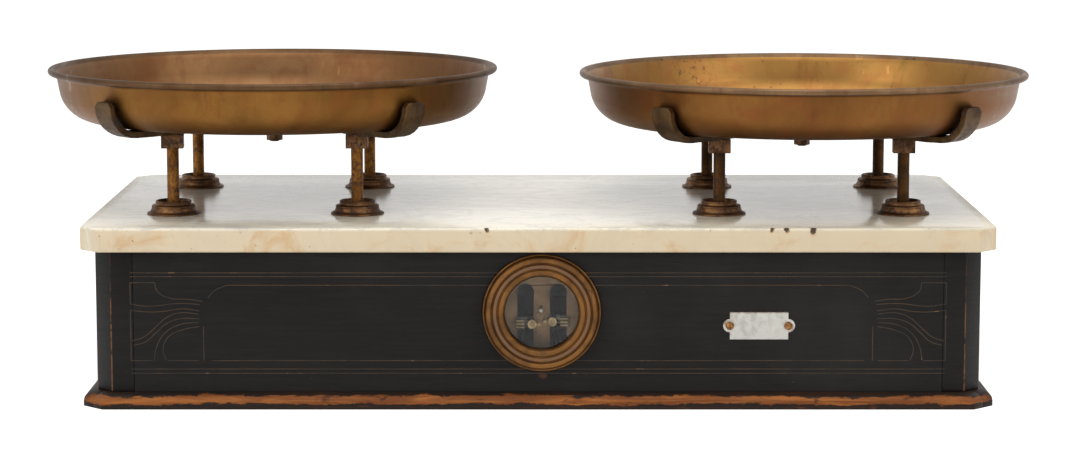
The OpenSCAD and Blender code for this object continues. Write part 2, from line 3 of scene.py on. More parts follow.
import bmesh
import bpy
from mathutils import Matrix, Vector


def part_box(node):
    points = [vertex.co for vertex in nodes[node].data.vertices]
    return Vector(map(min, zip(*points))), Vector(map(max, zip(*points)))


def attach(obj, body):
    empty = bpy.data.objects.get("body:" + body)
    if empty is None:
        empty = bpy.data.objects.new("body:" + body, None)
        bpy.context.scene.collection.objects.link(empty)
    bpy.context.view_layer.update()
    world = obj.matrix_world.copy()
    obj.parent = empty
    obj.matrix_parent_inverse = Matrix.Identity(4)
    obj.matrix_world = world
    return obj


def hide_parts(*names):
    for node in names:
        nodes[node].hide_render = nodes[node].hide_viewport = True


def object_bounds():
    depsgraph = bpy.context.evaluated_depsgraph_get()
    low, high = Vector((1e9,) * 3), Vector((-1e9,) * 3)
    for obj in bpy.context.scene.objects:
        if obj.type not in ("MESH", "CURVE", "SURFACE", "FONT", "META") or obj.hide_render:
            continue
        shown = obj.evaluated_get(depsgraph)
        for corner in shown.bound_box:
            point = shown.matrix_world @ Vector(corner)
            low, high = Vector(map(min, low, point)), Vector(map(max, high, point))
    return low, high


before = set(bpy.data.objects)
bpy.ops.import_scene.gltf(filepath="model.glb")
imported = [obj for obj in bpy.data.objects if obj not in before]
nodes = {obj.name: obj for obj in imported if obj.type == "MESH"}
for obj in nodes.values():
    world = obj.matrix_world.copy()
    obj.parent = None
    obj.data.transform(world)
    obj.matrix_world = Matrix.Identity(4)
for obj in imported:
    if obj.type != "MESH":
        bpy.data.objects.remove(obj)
cadLow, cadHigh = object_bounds()
mm = 0.001
sides = ("left", "right")
print("frame loaded:", len(nodes), "nodes")


# Working with objects

def deselectAll():
    if bpy.context.object and bpy.context.object.mode != "OBJECT":
        bpy.ops.object.mode_set(mode="OBJECT")
    bpy.ops.object.select_all(action="DESELECT")


def activate(piece):
    deselectAll()
    piece.select_set(True)
    bpy.context.view_layer.objects.active = piece


def edit(piece):
    activate(piece)
    bpy.ops.object.mode_set(mode="EDIT")
    return bmesh.from_edit_mesh(piece.data)


def pickFaces(piece, test):  # test takes a face's middle and its normal
    shape = edit(piece)
    bpy.ops.mesh.select_mode(type="FACE")
    for face in shape.faces:
        face.select_set(bool(test(face.calc_center_median(), face.normal)))
    bmesh.update_edit_mesh(piece.data)


def pickEdges(piece, test):  # test takes an edge's two ends
    shape = edit(piece)
    bpy.ops.mesh.select_mode(type="EDGE")
    for edge in shape.edges:
        edge.select_set(bool(test(edge.verts[0].co, edge.verts[1].co)))
    bmesh.update_edit_mesh(piece.data)


def modify(piece, kind, **settings):
    activate(piece)
    bpy.ops.object.modifier_add(type=kind)
    modifier = piece.modifiers[-1]
    for name, value in settings.items():
        setattr(modifier, name, value)
    bpy.ops.object.modifier_apply(modifier=modifier.name)


def added(operator, **settings):  # a new primitive, lamp or camera
    deselectAll()
    operator(**settings)
    return bpy.context.object


def cutAway(piece, cutter):
    modify(piece, "BOOLEAN", object=cutter, operation="DIFFERENCE", solver="EXACT")
    bpy.data.objects.remove(cutter)


def copyOfNode(nodeName, pieceName):
    piece = bpy.data.objects.new(pieceName, nodes[nodeName].data.copy())
    bpy.context.scene.collection.objects.link(piece)
    activate(piece)
    bpy.ops.mesh.customdata_custom_splitnormals_clear()
    bpy.ops.object.mode_set(mode="EDIT")
    bpy.ops.mesh.select_all(action="SELECT")
    bpy.ops.mesh.remove_doubles(threshold=0.02 * mm)
    bpy.ops.mesh.dissolve_limited(angle_limit=math.radians(0.4))
    bpy.ops.object.mode_set(mode="OBJECT")
    return piece


def shiftedCopy(source, shift):
    activate(source)
    bpy.ops.object.duplicate(linked=False)
    piece = bpy.context.object
    piece.location = shift
    bpy.ops.object.transform_apply(location=True, rotation=False, scale=False)
    return piece


def joined(name, pieces):
    deselectAll()
    for piece in pieces:
        piece.select_set(True)
    bpy.context.view_layer.objects.active = pieces[0]
    if len(pieces) > 1:
        bpy.ops.object.join()
    pieces[0].name = name
    return pieces[0]


def settle(piece, body, finishes, nodeNames, smooth=35):
    activate(piece)
    bpy.ops.object.transform_apply(location=True, rotation=True, scale=True)
    bpy.ops.object.shade_smooth_by_angle(angle=math.radians(smooth))
    piece.data.materials.clear()
    for finish in finishes:
        piece.data.materials.append(finish)
    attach(piece, body)
    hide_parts(*nodeNames)


def arcPoints(x, y, radiusX, radiusY, start, end, steps):
    turns = [math.radians(start + (end - start) * i / steps) for i in range(steps + 1)]
    return [(x + radiusX * math.cos(turn), y + radiusY * math.sin(turn)) for turn in turns]


# A profile of (radius, height) points, in mm, spun about an axis through the centre; closed joins its ends
def turned(name, profile, centre, along=(0, 0, 1), steps=48, closed=False):
    axis = Vector(along)

    def place(point):
        return centre + (Vector((1, 0, 0)) * point[0] + axis * point[1]) * mm

    piece = added(bpy.ops.mesh.primitive_plane_add, size=mm, location=place(profile[0]))
    piece.name = name
    bpy.ops.object.transform_apply(location=True)
    bpy.ops.object.mode_set(mode="EDIT")
    bpy.ops.mesh.select_mode(type="VERT")
    bpy.ops.mesh.select_all(action="SELECT")
    bpy.ops.mesh.merge(type="CENTER")
    for before, after in zip(profile, profile[1:]):
        step = place(after) - place(before)
        bpy.ops.mesh.extrude_vertices_move(TRANSFORM_OT_translate={"value": step})
    if closed:
        shape = bmesh.from_edit_mesh(piece.data)
        for vertex in shape.verts:
            if len(vertex.link_edges) == 1:
                vertex.select_set(True)
        bmesh.update_edit_mesh(piece.data)
        bpy.ops.mesh.edge_face_add()
    bpy.ops.mesh.select_all(action="SELECT")
    bpy.ops.mesh.spin(steps=steps, angle=2 * math.pi, center=centre, axis=axis)
    bpy.ops.mesh.select_all(action="SELECT")
    bpy.ops.mesh.remove_doubles(threshold=0.01 * mm)
    bpy.ops.mesh.normals_make_consistent(inside=False)
    bpy.ops.object.mode_set(mode="OBJECT")
    return piece


# Shader maths

class Wire:  # a shader socket that takes Python's arithmetic
    def __init__(self, paint, socket):
        self.paint, self.socket = paint, socket

    def maths(self, operation, first, second):
        return self.paint.node("ShaderNodeMath", {"operation": operation}, {0: first, 1: second})

    def __add__(self, other):
        return self.maths("ADD", self, other)

    def __sub__(self, other):
        return self.maths("SUBTRACT", self, other)

    def __rsub__(self, other):
        return self.maths("SUBTRACT", other, self)

    def __mul__(self, other):
        return self.maths("MULTIPLY", self, other)

    def __pow__(self, other):
        return self.maths("POWER", self, other)

    def __abs__(self):
        return self.maths("ABSOLUTE", self, 0)

    __radd__ = __add__
    __rmul__ = __mul__


def tint(code):  # a colour as it looks on a screen, made linear
    parts = [int(code[i:i + 2], 16) / 255 for i in (1, 3, 5)]
    linear = [part / 12.92 if part <= 0.04045 else ((part + 0.055) / 1.055) ** 2.4 for part in parts]
    return (*linear, 1)


class Paint:  # a tree of nodes, and the one way to add a node to it
    def __init__(self, tree):
        self.tree = tree

    def node(self, kind, settings, inputs, output=0):
        made = self.tree.nodes.new(kind)
        for name, value in settings.items():
            setattr(made, name, value)
        for key, value in inputs.items():
            if isinstance(value, Wire):
                self.tree.links.new(value.socket, made.inputs[key])
            else:
                made.inputs[key].default_value = value
        return Wire(self, made.outputs[output]) if made.outputs else None

    def larger(self, first, second):
        return self.node("ShaderNodeMath", {"operation": "MAXIMUM"}, {0: first, 1: second})


class Finish(Paint):  # one material and what feeds its shader
    def __init__(self, name, fixed):
        self.material = bpy.data.materials.new(name)
        self.material.use_nodes = True
        super().__init__(self.material.node_tree)
        self.shader = self.tree.nodes["Principled BSDF"]
        for socket, value in fixed.items():
            self.shader.inputs[socket].default_value = value
        self.place = self.node("ShaderNodeTexCoord", {}, {}, "Object")
        self.x, self.y, self.z = [self.node("ShaderNodeSeparateXYZ", {}, {0: self.place}, axis)
                                  for axis in "XYZ"]

    def stretched(self, factors):
        return self.node("ShaderNodeVectorMath", {"operation": "MULTIPLY"}, {0: self.place, 1: factors})

    def noise(self, scale, detail=4, roughness=0.55, distortion=0, at=None):
        inputs = {"Vector": at or self.place, "Scale": scale, "Detail": detail, "Roughness": roughness,
                  "Distortion": distortion}
        return self.node("ShaderNodeTexNoise", {}, inputs, "Fac")

    def rise(self, value, low, high):  # 0 at low, 1 at high, smooth between
        return self.node("ShaderNodeMapRange", {"interpolation_type": "SMOOTHSTEP"},
                         {"Value": value, "From Min": low, "From Max": high})

    def within(self, value, low, high, soft):  # 1 from low to high, 0 outside
        return self.rise(value, low - soft, low + soft) * self.rise(value, high + soft, high - soft)

    def mix(self, factor, first, second):
        return self.node("ShaderNodeMix", {"data_type": "RGBA"}, {0: factor, 6: first, 7: second}, 2)

    def distance(self, x, y):
        return ((self.x - x) ** 2 + (self.y - y) ** 2) ** 0.5

    def bump(self, height, depth):
        normal = self.node("ShaderNodeBump", {}, {"Height": height, "Distance": depth, "Strength": 1})
        self.tree.links.new(normal.socket, self.shader.inputs["Normal"])

    def give(self, **wires):
        sockets = {"colour": "Base Color", "roughness": "Roughness", "metallic": "Metallic",
                   "coat": "Coat Weight"}
        for name, wire in wires.items():
            self.tree.links.new(wire.socket, self.shader.inputs[sockets[name]])
        return self.material


# Metals that have aged: a clean and a dull colour in patches, dark stains and fine specks
ageing = {
    "patchFrom": 0.36, "patchTo": 0.64,
    "stainScale": 2.7, "stainSpread": 0.12, "stainRoughness": 0.12,
    "speckFrom": 0.62, "speckTo": 0.74, "speckRoughness": 0.1,
    "grainScale": 2.3,
    # the ring strength sets how strongly a painted highlight shows on one moulding of a turned piece
    "ringSheenStrength": 0.7, "featherStrength": 0.8,
}


def agedMetal(name, look):
    finish = Finish(name, {"Metallic": 1.0})
    patches = finish.noise(look["patch"], 5, 0.6, 0.6)
    blots = finish.noise(look["patch"] * ageing["stainScale"], 8, 0.65, 1.2)
    stains = finish.rise(blots, look["stainFrom"], look["stainFrom"] + ageing["stainSpread"])
    specks = finish.rise(finish.noise(look["speck"], 3, 0.7), ageing["speckFrom"], ageing["speckTo"])
    grain = finish.noise(look["speck"] * ageing["grainScale"], 4, 0.7)
    colour = finish.mix(finish.rise(patches, ageing["patchFrom"], ageing["patchTo"]),
                        tint(look["clean"]), tint(look["dull"]))
    colour = finish.mix(stains * look["stain"], colour, tint(look["dark"]))
    colour = finish.mix(specks * look["specks"], colour, tint(look["dark"]))
    if "ring" in look:  # painted highlight: one moulding of a turned piece is tinted a paler pinkish grey, as where light catches it
        x, z, inner, outer, ringSheenColour = look["ring"]
        away = ((finish.x - x * mm) ** 2 + (finish.z - z * mm) ** 2) ** 0.5
        ring = finish.within(away, inner * mm, outer * mm, 0.3 * mm) * finish.rise(patches, 0.2, 0.5)
        colour = finish.mix(ring * ageing["ringSheenStrength"], colour, tint(ringSheenColour))
    if "feather" in look:  # the tail of each arrow is dark between its ribs
        x, start = look["feather"]
        feather = finish.rise(abs(finish.x - x * mm), (start - 0.3) * mm, (start + 0.3) * mm)
        colour = finish.mix(feather * ageing["featherStrength"], colour, tint(look["dark"]))
    low, high = look["rough"]
    roughness = (low + (high - low) * patches + stains * ageing["stainRoughness"]
                 + specks * ageing["speckRoughness"])
    metallic = 1 - stains * look["grime"] - specks * look["grime"] * 0.5
    finish.bump(grain * 0.5 + patches * 0.3 - specks * 0.5 - stains * 0.4, look["relief"] * mm)
    return finish.give(colour=colour, roughness=roughness, metallic=metallic)


metalLooks = {
    "ferruleBronze": {
        "clean": "#7c593a", "dull": "#523a28", "dark": "#2a1e16", "patch": 90, "speck": 900,
        "stain": 0.8, "stainFrom": 0.5, "specks": 0.7, "grime": 0.5, "rough": (0.34, 0.6), "relief": 0.25},
    "bezelBrass": {
        "clean": "#75512d", "dull": "#5a3e24", "dark": "#352415", "patch": 60, "speck": 700,
        "stain": 0.5, "stainFrom": 0.54, "specks": 0.4, "grime": 0.4, "rough": (0.42, 0.6), "relief": 0.12,
        # ring: a painted highlight on the narrow middle moulding, as a paler pinkish grey band
        "ring": (2.35, 63.3, 29.6, 32.2, "#6c5443")},
    "indexBrass": {
        "clean": "#66503a", "dull": "#53402f", "dark": "#33241a", "patch": 80, "speck": 900,
        "stain": 0.5, "stainFrom": 0.55, "specks": 0.4, "grime": 0.4, "rough": (0.35, 0.55), "relief": 0.1},
    "screwBrass": {
        "clean": "#a87a46", "dull": "#6e4526", "dark": "#3a2013", "patch": 400, "speck": 2500,
        "stain": 0.9, "stainFrom": 0.46, "specks": 0.6, "grime": 0.6, "rough": (0.35, 0.6), "relief": 0.1},
    "castIron": {
        "clean": "#4a4d4a", "dull": "#343633", "dark": "#4a2f1f", "patch": 40, "speck": 500,
        "stain": 0.6, "stainFrom": 0.56, "specks": 0.6, "grime": 0.6, "rough": (0.5, 0.75), "relief": 0.4},
    "knifeSteel": {
        "clean": "#b9bbb5", "dull": "#8f918c", "dark": "#5a4636", "patch": 70, "speck": 900,
        "stain": 0.4, "stainFrom": 0.6, "specks": 0.3, "grime": 0.3, "rough": (0.22, 0.42), "relief": 0.06},
    "rodSteel": {
        "clean": "#7d7c74", "dull": "#5f5d56", "dark": "#4a3222", "patch": 60, "speck": 800,
        "stain": 0.5, "stainFrom": 0.56, "specks": 0.5, "grime": 0.5, "rough": (0.35, 0.6), "relief": 0.15},
    "tareBrass": {
        "clean": "#b08a4a", "dull": "#8a6838", "dark": "#3e2a18", "patch": 80, "speck": 900,
        "stain": 0.4, "stainFrom": 0.58, "specks": 0.3, "grime": 0.3, "rough": (0.28, 0.5), "relief": 0.08},
    "arrowBlade": {
        "clean": "#937d5c", "dull": "#756246", "dark": "#2a2119", "patch": 200, "speck": 1800,
        "stain": 0.3, "stainFrom": 0.58, "specks": 0.3, "grime": 0.4, "rough": (0.4, 0.6), "relief": 0.06,
        "feather": (2.35, 9.2)},
    "arrowTrim": {
        "clean": "#b09a78", "dull": "#8d7858", "dark": "#4a3b2a", "patch": 200, "speck": 1800,
        "stain": 0.4, "stainFrom": 0.56, "specks": 0.3, "grime": 0.4, "rough": (0.32, 0.5), "relief": 0.05},
    "strapIron": {
        "clean": "#5b452b", "dull": "#3c2b1c", "dark": "#281e16", "patch": 45, "speck": 420,
        "stain": 0.7, "stainFrom": 0.5, "specks": 0.6, "grime": 0.6, "rough": (0.4, 0.62), "relief": 0.45},
    "leftPost": {
        "clean": "#8d602e", "dull": "#684320", "dark": "#382317", "patch": 120, "speck": 800,
        "stain": 0.8, "stainFrom": 0.5, "specks": 0.6, "grime": 0.5, "rough": (0.4, 0.6), "relief": 0.25},
    "rightPost": {
        "clean": "#4f341b", "dull": "#3a2715", "dark": "#2e2017", "patch": 120, "speck": 800,
        "stain": 0.8, "stainFrom": 0.5, "specks": 0.6, "grime": 0.5, "rough": (0.4, 0.6), "relief": 0.25},
    "blockBronze": {
        "clean": "#6f5138", "dull": "#4c3526", "dark": "#251a14", "patch": 120, "speck": 800,
        "stain": 0.8, "stainFrom": 0.5, "specks": 0.6, "grime": 0.5, "rough": (0.38, 0.62), "relief": 0.3},
}
metals = {name: agedMetal(name, look) for name, look in metalLooks.items()}


# Pan brass: patina in soft clouds, faint rings from spinning, dark spots and a few long scratches
patina = {
    "spotColour": "#2b1e14",
    "ringScale": 900, "ringRoughness": 0.14,
    "mottleScale": 6, "mottleStrength": 0.5,
    "spotScale": 150, "spotSpread": 0.05, "pinScale": 620, "pinStrength": 0.4,
    "blotchReach": 26, "blotchScale": 330, "blotchStrength": 0.6,
    "streakScale": 60, "scratchScale": 300, "scratchFrom": 0.66, "scratchTo": 0.72,
}


def panBrass(name, look, centre):
    finish = Finish(name, {"Metallic": 1.0})
    reach = finish.distance(centre.x, centre.y)
    turns = finish.node("ShaderNodeCombineXYZ", {}, {0: reach * patina["ringScale"], 1: finish.x * 3})
    rings = finish.noise(1, 3, 0.6, 0, turns)
    clouds = finish.noise(look["cloud"], 6, 0.6, 0.8)
    mottle = finish.noise(look["cloud"] * patina["mottleScale"], 6, 0.62, 0.5)
    spots = finish.rise(finish.noise(patina["spotScale"], 4, 0.6, 0.4),
                        look["spotFrom"], look["spotFrom"] + patina["spotSpread"])
    if "blotch" in look:  # a cluster of spots inside the right pan
        x, y = look["blotch"]
        near = finish.rise(finish.distance(x * mm, y * mm), patina["blotchReach"] * mm, 4 * mm)
        cluster = finish.rise(finish.noise(patina["blotchScale"], 4, 0.65, 0.6), 0.56, 0.66)
        spots = finish.larger(spots, near * cluster * patina["blotchStrength"])
    pins = finish.rise(finish.noise(patina["pinScale"], 2, 0.6), 0.68, 0.74)
    streaks = finish.noise(patina["streakScale"], 5, 0.7, 0, finish.stretched((1, 1, 0.12)))
    scratches = finish.rise(finish.noise(patina["scratchScale"], 2, 0.4, 0, finish.stretched((1, 0.06, 0.3))),
                            patina["scratchFrom"], patina["scratchTo"])
    colour = finish.mix(finish.rise(clouds, 0.32, 0.68), tint(look["clean"]), tint(look["dull"]))
    colour = finish.mix(finish.rise(mottle, 0.42, 0.7) * patina["mottleStrength"], colour, tint(look["warm"]))
    colour = finish.mix(finish.rise(streaks, 0.5, 0.75) * look["streak"], colour, tint(look["dark"]))
    colour = finish.mix(spots * look["spots"] + pins * patina["pinStrength"], colour,
                        tint(patina["spotColour"]))
    low, high = look["rough"]
    roughness = (low + (high - low) * clouds + (rings - 0.5) * patina["ringRoughness"] + spots * 0.2
                 - scratches * 0.12)
    finish.bump(rings * 0.4 + mottle * 0.5 - spots * 0.6 - scratches * 0.3, look["relief"] * mm)
    return finish.give(colour=colour, roughness=roughness, metallic=1 - spots * 0.6 - pins * 0.3)


panLooks = {
    "left": {
        "inside": {"clean": "#75573a", "dull": "#67452a", "warm": "#623c26", "dark": "#46301e", "cloud": 9,
                   "spotFrom": 0.73, "spots": 0.7, "streak": 0.35, "rough": (0.42, 0.55), "relief": 0.05},
        "outside": {"clean": "#795428", "dull": "#60401d", "warm": "#6f4121", "dark": "#462e17", "cloud": 11,
                    "spotFrom": 0.74, "spots": 0.5, "streak": 0.45, "rough": (0.4, 0.54), "relief": 0.05},
        "rim": {"clean": "#5c4630", "dull": "#483322", "warm": "#5b3d2b", "dark": "#2c221a", "cloud": 24,
                "spotFrom": 0.66, "spots": 0.8, "streak": 0.5, "rough": (0.42, 0.6), "relief": 0.1}},
    "right": {
        "inside": {"clean": "#916b38", "dull": "#7d5a30", "warm": "#86502f", "dark": "#4c3719", "cloud": 8,
                   "spotFrom": 0.68, "spots": 0.9, "streak": 0.4, "rough": (0.32, 0.48), "relief": 0.05,
                   "blotch": (114, 128)},
        "outside": {"clean": "#785229", "dull": "#644120", "warm": "#723f25", "dark": "#4a3019", "cloud": 11,
                    "spotFrom": 0.72, "spots": 0.6, "streak": 0.45, "rough": (0.38, 0.52), "relief": 0.05},
        "rim": {"clean": "#735b42", "dull": "#614a36", "warm": "#654531", "dark": "#30251c", "cloud": 24,
                "spotFrom": 0.66, "spots": 0.8, "streak": 0.5, "rough": (0.4, 0.58), "relief": 0.1}},
}


# Marble: white with grey veins and crystals, stained and pocked along its worn edges
marbleLook = {
    "white": "#eee6d3", "pale": "#e2dac6", "grey": "#c2bdb0", "fineGrey": "#a9a9a8", "cream": "#d6c2a0",
    "stain": "#c8924a", "dirt": "#6d4c31", "chip": "#38240f",
    "veinStrength": 0.45, "fineVeinStrength": 0.3,
    "edgeFade": (12, 1), "endFade": (10, 1), "undersideFade": (0.4, 2.5), "chipFade": (4, 2),  # mm from a face
    "roughness": 0.11, "relief": 0.25,
    "chips": [(-33.5, 118.9, 1.5), (152, 118.9, 1.3),  # x, height and size of each, mm
              (161.8, 119.2, 1.7), (178.8, 118.4, 2.1)],
}


def marbleFinish(low, high):
    look = marbleLook
    finish = Finish("marble", {})
    drift = finish.noise(5, 6, 0.62, 1.2)
    vein = abs(finish.noise(7, 7, 0.6, 1.6, finish.stretched((0.7, 1.6, 1))) - 0.5)
    fineVein = abs(finish.noise(19, 6, 0.65, 0.9, finish.stretched((0.8, 1.3, 1))) - 0.5)
    crystals = finish.noise(420, 3, 0.6)
    yellowing = finish.noise(3.1, 3, 0.5)
    blots = finish.noise(26, 6, 0.6, 1.0)
    pocks = finish.rise(finish.noise(190, 4, 0.6, 0.3), 0.7, 0.75)
    ragged = finish.noise(380, 3, 0.6, 0.5)
    inner, outer = [depth * mm for depth in look["endFade"]]
    ends = finish.larger(finish.rise(finish.x, low.x + inner, low.x + outer),
                         finish.rise(finish.x, high.x - inner, high.x - outer))
    inner, outer = [depth * mm for depth in look["edgeFade"]]
    side = finish.larger(finish.rise(finish.y, low.y + inner, low.y + outer), ends)
    near, far = [depth * mm for depth in look["undersideFade"]]
    below = finish.rise(finish.z, high.z - near, high.z - far)
    colour = finish.mix(finish.rise(drift, 0.38, 0.68), tint(look["white"]), tint(look["pale"]))
    colour = finish.mix(finish.rise(vein, 0.045, 0.0) * look["veinStrength"], colour, tint(look["grey"]))
    colour = finish.mix(finish.rise(fineVein, 0.03, 0.0) * look["fineVeinStrength"], colour,
                        tint(look["fineGrey"]))
    colour = finish.mix(finish.rise(yellowing, 0.5, 0.72) * 0.35, colour, tint(look["cream"]))
    colour = finish.mix(side * below * 0.85, colour, tint(look["cream"]))
    colour = finish.mix(side * below * finish.rise(blots, 0.54, 0.72) * 0.55, colour, tint(look["stain"]))
    colour = finish.mix(pocks * (side * 0.7 + 0.12), colour, tint(look["dirt"]))
    inner, outer = [depth * mm for depth in look["chipFade"]]
    front = finish.rise(finish.y, low.y + inner, low.y + outer)
    for x, z, size in look["chips"]:
        sideways = finish.x - x * mm + (ragged - 0.5) * 5 * mm
        away = (sideways ** 2 + ((finish.z - z * mm) * 0.7) ** 2) ** 0.5
        halo = finish.rise(away, size * 1.5 * mm, size * 0.9 * mm)
        colour = finish.mix(halo * front * 0.4, colour, tint(look["stain"]))
        colour = finish.mix(finish.rise(away, size * mm, size * 0.6 * mm) * front, colour, tint(look["chip"]))
    finish.bump(crystals * 0.15 + blots * 0.3 - pocks * 0.7, look["relief"] * mm)
    return finish.give(colour=colour, roughness=look["roughness"] + drift * 0.12 + side * 0.2 + pocks * 0.3)


# Ebonised wood: near black with open grain, rubbed through along its upright arrises
ebonyLook = {
    "black": "#0f0e0d", "brown": "#191613", "worn": "#8f6040", "scuff": "#2a2724", "knock": "#5a3826",
    "clip": 11.3,  # cut across each corner of the case, mm
    "arris": 0.4, "arrisSoft": 0.35, "arrisDepth": (1.5, 0.4),  # width and depth of the rubbed lines, mm
    "arrisFade": (95, 70),  # from faint to worn, as heights in the case, mm
    "knockAt": (3.1, 21), "knockReach": (3.4, 1),  # a bruise under the window, mm
    "roughness": 0.36, "coat": 0.05, "relief": 0.2,
}


def ebonisedFinish(low, high):
    look = ebonyLook
    finish = Finish("ebonisedWood", {"Specular IOR Level": 0.12, "Coat Roughness": 0.3})
    grain = finish.noise(24, 6, 0.65, 0.5, finish.stretched((1, 1, 14)))
    pores = finish.rise(finish.noise(90, 3, 0.7, 0, finish.stretched((0.6, 0.6, 10))), 0.6, 0.72)
    cloud = finish.noise(7, 4, 0.55)
    fine = finish.noise(150, 5, 0.65, 0.8)
    chips = finish.rise(finish.noise(330, 3, 0.6, 0.4), 0.75, 0.77)
    wide, soft = look["arris"] * mm, look["arrisSoft"] * mm
    inner, outer = [depth * mm for depth in look["arrisDepth"]]
    endX, endY = high.x - look["clip"] * mm, high.y - look["clip"] * mm
    sideways, depthways = abs(finish.x), abs(finish.y)
    frontArris = (finish.within(sideways, endX - wide, endX + wide, soft)
                  * finish.rise(depthways, high.y - inner, high.y - outer))
    sideArris = (finish.within(depthways, endY - wide, endY + wide, soft)
                 * finish.rise(sideways, high.x - inner, high.x - outer))
    faint, worn = [low.z + height * mm for height in look["arrisFade"]]
    lower = finish.rise(finish.z + finish.noise(30, 3) * 0.05, faint, worn)
    line = finish.larger(frontArris, sideArris) * (lower * 0.8 + 0.2) * finish.rise(fine, 0.36, 0.56)
    knockX, knockZ = look["knockAt"]
    outside, inside = look["knockReach"]
    away = ((finish.x - knockX * mm) ** 2 + ((finish.z - knockZ * mm) * 1.3) ** 2) ** 0.5
    knock = (finish.rise(away + (fine - 0.5) * 5 * mm, outside * mm, inside * mm)
             * finish.rise(finish.y, low.y + inner, low.y + outer))
    colour = finish.mix(finish.rise(grain, 0.35, 0.75), tint(look["black"]), tint(look["brown"]))
    colour = finish.mix(finish.rise(cloud, 0.52, 0.75) * 0.5, colour, tint(look["scuff"]))
    colour = finish.mix(line * 0.75 + chips * 0.4, colour, tint(look["worn"]))
    colour = finish.mix(knock * 0.7, colour, tint(look["knock"]))
    finish.bump(grain * 0.5 - pores * 0.6 + cloud * 0.6 - line * 0.4, look["relief"] * mm)
    return finish.give(colour=colour, roughness=look["roughness"] + cloud * 0.16 + pores * 0.08 + line * 0.15,
                       coat=look["coat"] - line * 0.05)


def lineFinish():
    look = {"reddish": "#493829", "faded": "#302a24", "bright": "#7a5c42", "relief": 0.1}
    finish = Finish("reddishLine", {"Specular IOR Level": 0.2})
    wear = finish.noise(38, 6, 0.7, 0.6)
    glints = finish.rise(finish.noise(90, 4, 0.6), 0.62, 0.7)
    colour = finish.mix(finish.rise(wear, 0.38, 0.62), tint(look["reddish"]), tint(look["faded"]))
    colour = finish.mix(glints, colour, tint(look["bright"]))
    finish.bump(wear, look["relief"] * mm)
    return finish.give(colour=colour, roughness=0.45 + wear * 0.2)


# Plinth: the same black, worn to bare wood along its nose with ragged edges
def plinthFinish(low, high):
    look = {"black": "#191411", "brown": "#2f1e14", "worn": "#74401d", "bright": "#a1622e",
            "nose": (3.8, 8.6), "noseSoft": 0.4, "lowEdge": (0.5, 2.4), "lowSoft": 1.2,  # heights, mm
            "frontFade": (16, 8), "ragged": 9, "drift": 5, "relief": 0.3}
    finish = Finish("plinthWood", {"Specular IOR Level": 0.15})
    run = finish.noise(18, 6, 0.65, 0.5, finish.stretched((1, 1, 16)))
    scuffs = finish.noise(55, 6, 0.6, 0.9, finish.stretched((0.45, 0.45, 1.6)))
    ragged = finish.noise(90, 7, 0.72, 0.6, finish.stretched((0.4, 0.4, 1.5)))
    flecks = finish.rise(finish.noise(210, 5, 0.7, 0.8, finish.stretched((0.35, 0.35, 1))), 0.6, 0.68)
    height = (finish.z + (ragged - 0.5) * look["ragged"] * mm
              + (finish.noise(7, 2) - 0.5) * look["drift"] * mm)
    bottom, top = [low.z + part * mm for part in look["nose"]]
    nose = finish.within(height, bottom, top, look["noseSoft"] * mm)
    bottom, top = [low.z + part * mm for part in look["lowEdge"]]
    lowEdge = finish.within(finish.z, bottom, top, look["lowSoft"] * mm)
    inner, outer = [low.y + part * mm for part in look["frontFade"]]
    front = finish.rise(finish.y, inner, outer)
    worn = nose * (front * 0.75 + 0.2) * finish.rise(scuffs, 0.22, 0.38) * (1 - flecks * 0.8)
    worn = finish.larger(worn, lowEdge * finish.rise(scuffs, 0.58, 0.7) * 0.35)
    bare = finish.mix(finish.rise(run, 0.4, 0.65), tint(look["worn"]), tint(look["bright"]))
    colour = finish.mix(finish.rise(run, 0.35, 0.7), tint(look["black"]), tint(look["brown"]))
    colour = finish.mix(worn, colour, bare)
    finish.bump(run * 0.5 + scuffs * 0.4 - worn * 0.3, look["relief"] * mm)
    return finish.give(colour=colour, roughness=0.42 + scuffs * 0.2)


def dealFinish():
    look = {"pale": "#a07a4c", "dark": "#7a5430", "dirt": "#3f2d1f", "relief": 0.3}
    finish = Finish("deal", {"Specular IOR Level": 0.25})
    grain = finish.noise(14, 5, 0.6, 1.4, finish.stretched((0.8, 12, 12)))
    dirt = finish.noise(11, 6, 0.6, 0.5)
    colour = finish.mix(finish.rise(grain, 0.35, 0.68), tint(look["pale"]), tint(look["dark"]))
    colour = finish.mix(finish.rise(dirt, 0.48, 0.7) * 0.6, colour, tint(look["dirt"]))
    finish.bump(grain * 0.6 + dirt * 0.2, look["relief"] * mm)
    return finish.give(colour=colour, roughness=0.62 + grain * 0.2)


def corkFinish():
    look = {"pale": "#a3794c", "dark": "#7d5631", "cells": "#3d2a1a", "relief": 0.5}
    finish = Finish("corkBlock", {"Specular IOR Level": 0.2})
    cells = finish.noise(420, 4, 0.7, 0.8)
    lumps = finish.noise(120, 4, 0.6, 0.6)
    colour = finish.mix(finish.rise(lumps, 0.4, 0.65), tint(look["pale"]), tint(look["dark"]))
    colour = finish.mix(finish.rise(cells, 0.6, 0.72), colour, tint(look["cells"]))
    finish.bump(cells * 0.5 + lumps * 0.5, look["relief"] * mm)
    return finish.give(colour=colour, roughness=0.75 + cells * 0.15)


def glassFinish():
    look = {"tone": (0.93, 0.95, 0.94, 1), "bend": 1.25, "relief": 0.05}
    finish = Finish("clearGlass", {"Transmission Weight": 1.0, "IOR": look["bend"], "Base Color": look["tone"]})
    haze = finish.noise(45, 5, 0.6, 0.6)
    dust = finish.rise(finish.noise(700, 3, 0.6), 0.66, 0.74)
    finish.bump(haze, look["relief"] * mm)
    return finish.give(roughness=0.01 + finish.rise(haze, 0.5, 0.8) * 0.05 + dust * 0.15)


